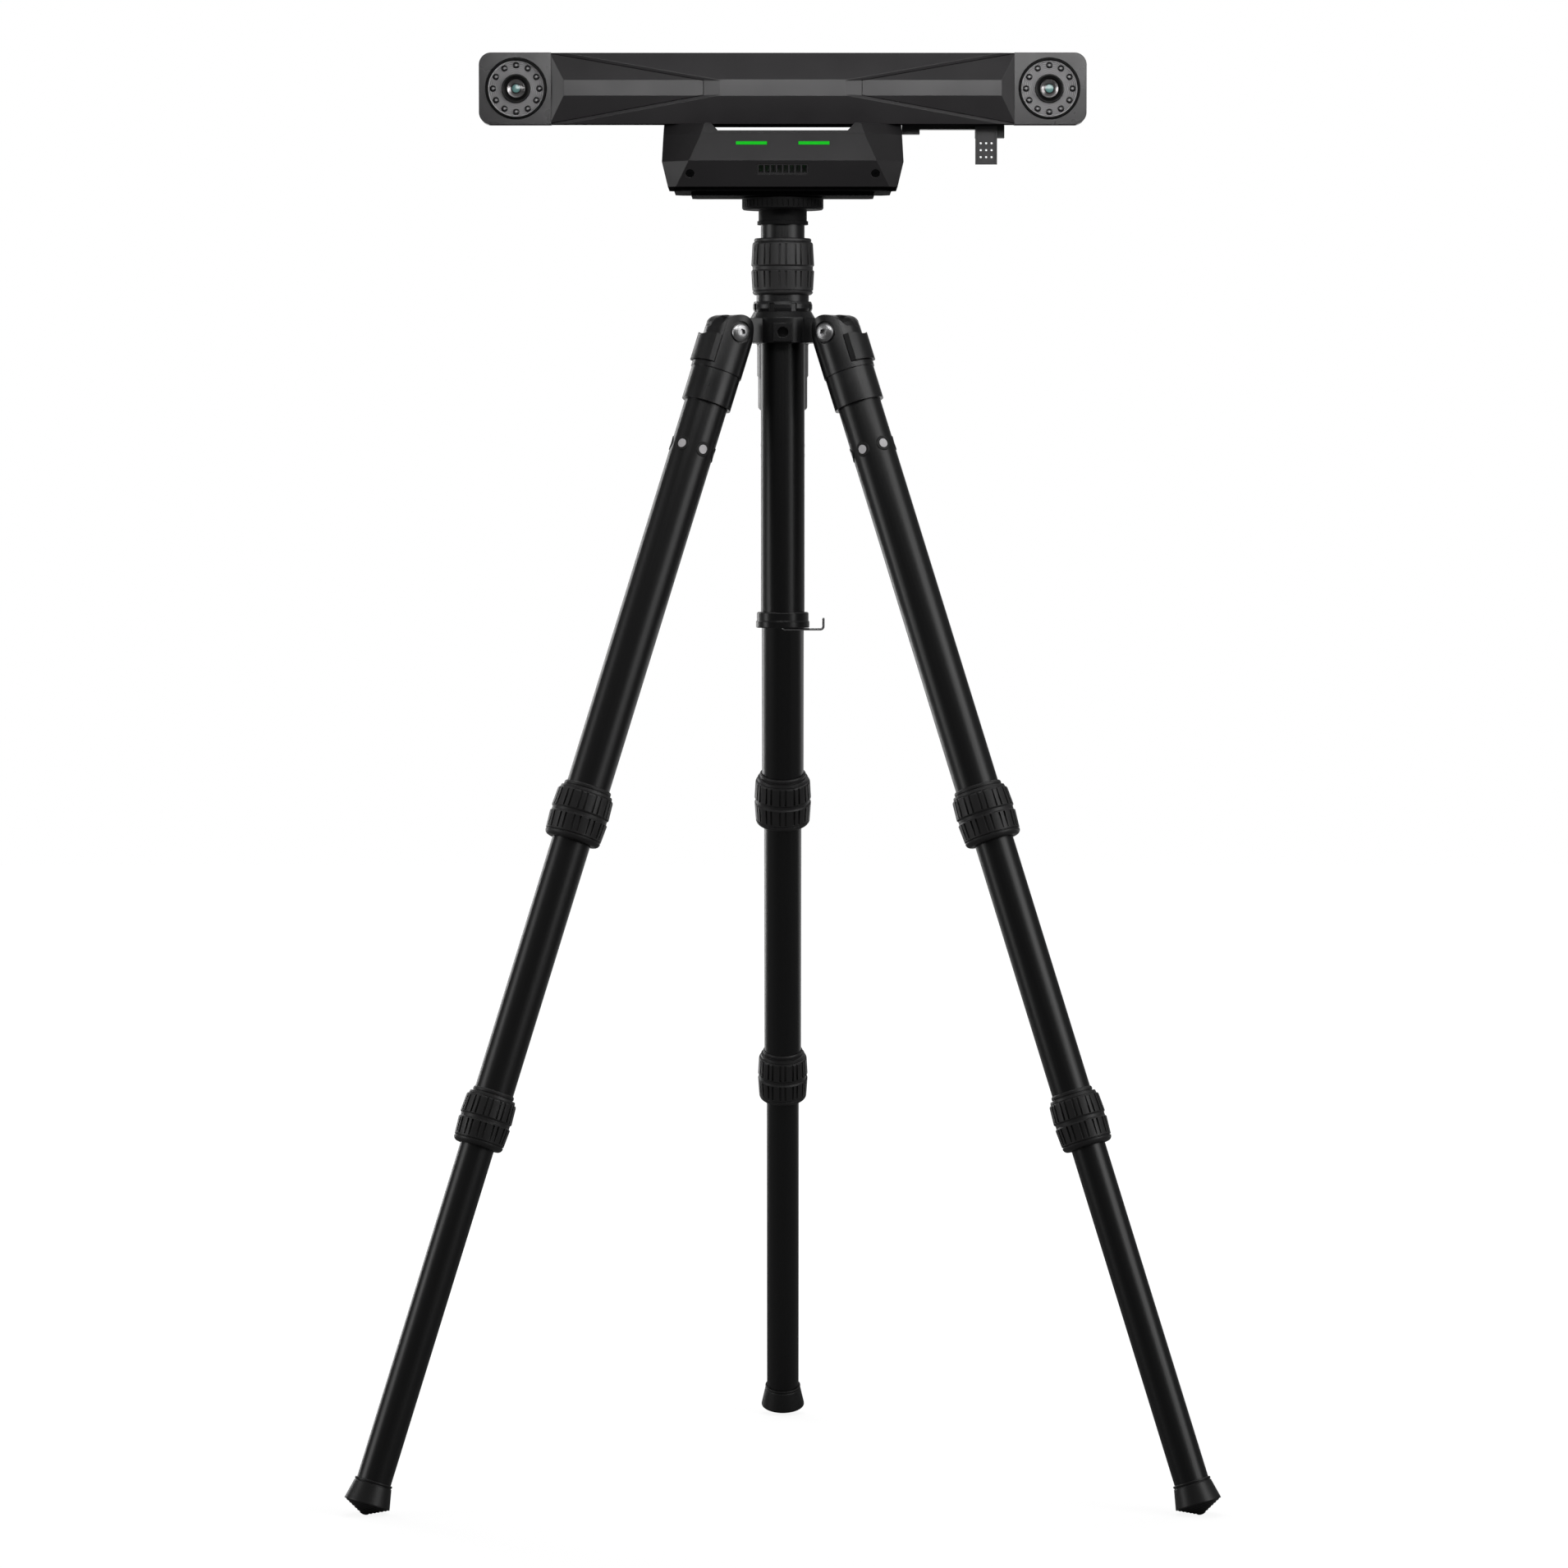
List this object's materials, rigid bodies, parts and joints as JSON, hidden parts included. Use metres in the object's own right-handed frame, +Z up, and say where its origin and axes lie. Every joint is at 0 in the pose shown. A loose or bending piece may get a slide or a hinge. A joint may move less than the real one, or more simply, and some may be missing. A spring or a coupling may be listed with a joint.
{
  "type": "three-d scanner",
  "caption": "Stereo optical tracking bar with a light ring around each eye, on a faceted base and a folding tripod with telescopic twist-lock legs.",
  "frame": {"origin": "column axis at floor level, below the hub", "axes": "+Z up, the eyes look along -Y, +X to the viewer's right"},
  "size_m": [0.6288, 0.549, 1.0551],
  "materials": {
    "tube": "black anodised, satin",
    "casting": "black powder coat, satin",
    "stop": "moulded, satin",
    "marker": "matte reflective film",
    "grip": "matte ribbed rubber",
    "foot": "matte rubber",
    "bolt": "polished",
    "hook": "polished wire",
    "steel": "turned",
    "black_screw": "black oxide",
    "plate": "black anodised, matte",
    "cover": "moulded, matte",
    "shell": "fine textured paint, satin",
    "rear_cover": "fine textured paint, satin",
    "wing": "fine textured paint, satin",
    "end_block": "fine textured paint, satin",
    "light": "translucent, lit",
    "vent": "moulded, matte",
    "bezel": "gloss black",
    "led_plate": "ripple pattern",
    "led": "dark filter resin",
    "barrel": "black anodised, matte",
    "lens": "coated, polished",
    "board": "solder mask",
    "bare": "milled",
    "bracket": "moulded, satin",
    "tab": "moulded, satin"
  },
  "bodies": {
    "hub": {"hub": "casting", "hub_nut": "casting", "hinge_bolts": "bolt"},
    "column_collar": {"column_collar": "grip"},
    "column": {"column_tube": "tube", "column_end_ring": "casting", "platform_disc": "casting", "platform_screw": "steel"},
    "head": {"mount_plate": "plate", "base_cover": "cover", "base_front_shell": "shell", "base_rear_shell": "shell", "base_lights": "light", "base_vent": "vent", "base_screws": "black_screw", "base_board": "board", "heat_sink": "bare", "bar_centre_shell": "shell", "bar_rear_cover": "rear_cover", "left_wing": "wing", "right_wing": "wing", "left_end_block": "end_block", "right_end_block": "end_block", "lens_bezels": "bezel", "led_plates": "led_plate", "led_beads": "led", "lens_barrels": "barrel", "lens_glasses": "lens", "bar_beam": "bare", "bar_board": "board", "side_bracket": "bracket", "bracket_tab": "tab"},
    "hook": {"weight_hook": "hook"},
    "left_leg": {"left_leg_yoke": "casting", "left_leg_upper_tube": "tube", "left_leg_markers": "marker"},
    "left_angle_stop": {"left_leg_angle_stop": "stop"},
    "left_upper_collar": {"left_leg_upper_collar": "grip"},
    "left_middle_leg": {"left_leg_middle_tube": "tube"},
    "left_lower_collar": {"left_leg_lower_collar": "grip"},
    "left_lower_leg": {"left_leg_lower_tube": "tube", "left_leg_foot": "foot"},
    "right_leg": {"right_leg_yoke": "casting", "right_leg_upper_tube": "tube", "right_leg_markers": "marker"},
    "right_angle_stop": {"right_leg_angle_stop": "stop"},
    "right_upper_collar": {"right_leg_upper_collar": "grip"},
    "right_middle_leg": {"right_leg_middle_tube": "tube"},
    "right_lower_collar": {"right_leg_lower_collar": "grip"},
    "right_lower_leg": {"right_leg_lower_tube": "tube", "right_leg_foot": "foot"},
    "rear_leg": {"rear_leg_yoke": "casting", "rear_leg_upper_tube": "tube", "rear_leg_markers": "marker"},
    "rear_angle_stop": {"rear_leg_angle_stop": "stop"},
    "rear_upper_collar": {"rear_leg_upper_collar": "grip"},
    "rear_middle_leg": {"rear_leg_middle_tube": "tube"},
    "rear_lower_collar": {"rear_leg_lower_collar": "grip"},
    "rear_lower_leg": {"rear_leg_lower_tube": "tube", "rear_leg_foot": "foot"}
  },
  "joints": [
    {"name": "column_lock", "type": "hinge", "parent": "hub", "child": "column_collar", "pos_m": [0, 0, 0.89766], "axis": [0, 0, 1], "range_deg": [0, 90]},
    {"name": "column_lift", "type": "slide", "parent": "hub", "child": "column", "axis": [0, 0, 1], "range_m": [-0.0095, 0.19]},
    {"name": "head_pan", "type": "hinge", "parent": "column", "child": "head", "pos_m": [0, 0, 0.94966], "axis": [0, 0, 1], "continuous": true},
    {"name": "hook_swivel", "type": "hinge", "parent": "column", "child": "hook", "pos_m": [0, 0, 0.63276], "axis": [0, 0, 1], "range_deg": [0, 330]},
    {"name": "left_leg_fold", "type": "hinge", "parent": "hub", "child": "left_leg", "pos_m": [-0.04001, -0.0231, 0.84966], "axis": [-0.5, 0.866, 0], "range_deg": [-19.5, 0]},
    {"name": "left_angle_stop_pull", "type": "slide", "parent": "left_leg", "child": "left_angle_stop", "axis": [-0.8164, -0.4713, 0.3338], "range_m": [0, 0.005], "stiffness_N_per_m": 400, "springref_m": -0.002},
    {"name": "left_upper_lock", "type": "hinge", "parent": "left_leg", "child": "left_upper_collar", "pos_m": [-0.1479, -0.08539, 0.49787], "axis": [-0.2891, -0.1669, -0.9426], "range_deg": [0, 90]},
    {"name": "left_middle_extend", "type": "slide", "parent": "left_leg", "child": "left_middle_leg", "axis": [-0.2891, -0.1669, -0.9426], "range_m": [-0.189, 0.045]},
    {"name": "left_lower_lock", "type": "hinge", "parent": "left_middle_leg", "child": "left_lower_collar", "pos_m": [-0.21502, -0.12414, 0.27899], "axis": [-0.2891, -0.1669, -0.9426], "range_deg": [0, 90]},
    {"name": "left_lower_extend", "type": "slide", "parent": "left_middle_leg", "child": "left_lower_leg", "axis": [-0.2891, -0.1669, -0.9426], "range_m": [-0.245, 0.02]},
    {"name": "right_leg_fold", "type": "hinge", "parent": "hub", "child": "right_leg", "pos_m": [0.04001, -0.0231, 0.84966], "axis": [-0.5, -0.866, 0], "range_deg": [-19.5, 0]},
    {"name": "right_angle_stop_pull", "type": "slide", "parent": "right_leg", "child": "right_angle_stop", "axis": [0.8164, -0.4713, 0.3338], "range_m": [0, 0.005], "stiffness_N_per_m": 400, "springref_m": -0.002},
    {"name": "right_upper_lock", "type": "hinge", "parent": "right_leg", "child": "right_upper_collar", "pos_m": [0.1479, -0.08539, 0.49787], "axis": [0.2891, -0.1669, -0.9426], "range_deg": [0, 90]},
    {"name": "right_middle_extend", "type": "slide", "parent": "right_leg", "child": "right_middle_leg", "axis": [0.2891, -0.1669, -0.9426], "range_m": [-0.189, 0.045]},
    {"name": "right_lower_lock", "type": "hinge", "parent": "right_middle_leg", "child": "right_lower_collar", "pos_m": [0.21502, -0.12414, 0.27899], "axis": [0.2891, -0.1669, -0.9426], "range_deg": [0, 90]},
    {"name": "right_lower_extend", "type": "slide", "parent": "right_middle_leg", "child": "right_lower_leg", "axis": [0.2891, -0.1669, -0.9426], "range_m": [-0.245, 0.02]},
    {"name": "rear_leg_fold", "type": "hinge", "parent": "hub", "child": "rear_leg", "pos_m": [0, 0.0462, 0.84966], "axis": [1, 0, 0], "range_deg": [-19.5, 0]},
    {"name": "rear_angle_stop_pull", "type": "slide", "parent": "rear_leg", "child": "rear_angle_stop", "axis": [0, 0.9426, 0.3338], "range_m": [0, 0.005], "stiffness_N_per_m": 400, "springref_m": -0.002},
    {"name": "rear_upper_lock", "type": "hinge", "parent": "rear_leg", "child": "rear_upper_collar", "pos_m": [0, 0.17078, 0.49787], "axis": [0, 0.3338, -0.9426], "range_deg": [0, 90]},
    {"name": "rear_middle_extend", "type": "slide", "parent": "rear_leg", "child": "rear_middle_leg", "axis": [0, 0.3338, -0.9426], "range_m": [-0.189, 0.045]},
    {"name": "rear_lower_lock", "type": "hinge", "parent": "rear_middle_leg", "child": "rear_lower_collar", "pos_m": [0, 0.24829, 0.27899], "axis": [0, 0.3338, -0.9426], "range_deg": [0, 90]},
    {"name": "rear_lower_extend", "type": "slide", "parent": "rear_middle_leg", "child": "rear_lower_leg", "axis": [0, 0.3338, -0.9426], "range_m": [-0.245, 0.02]}
  ]
}
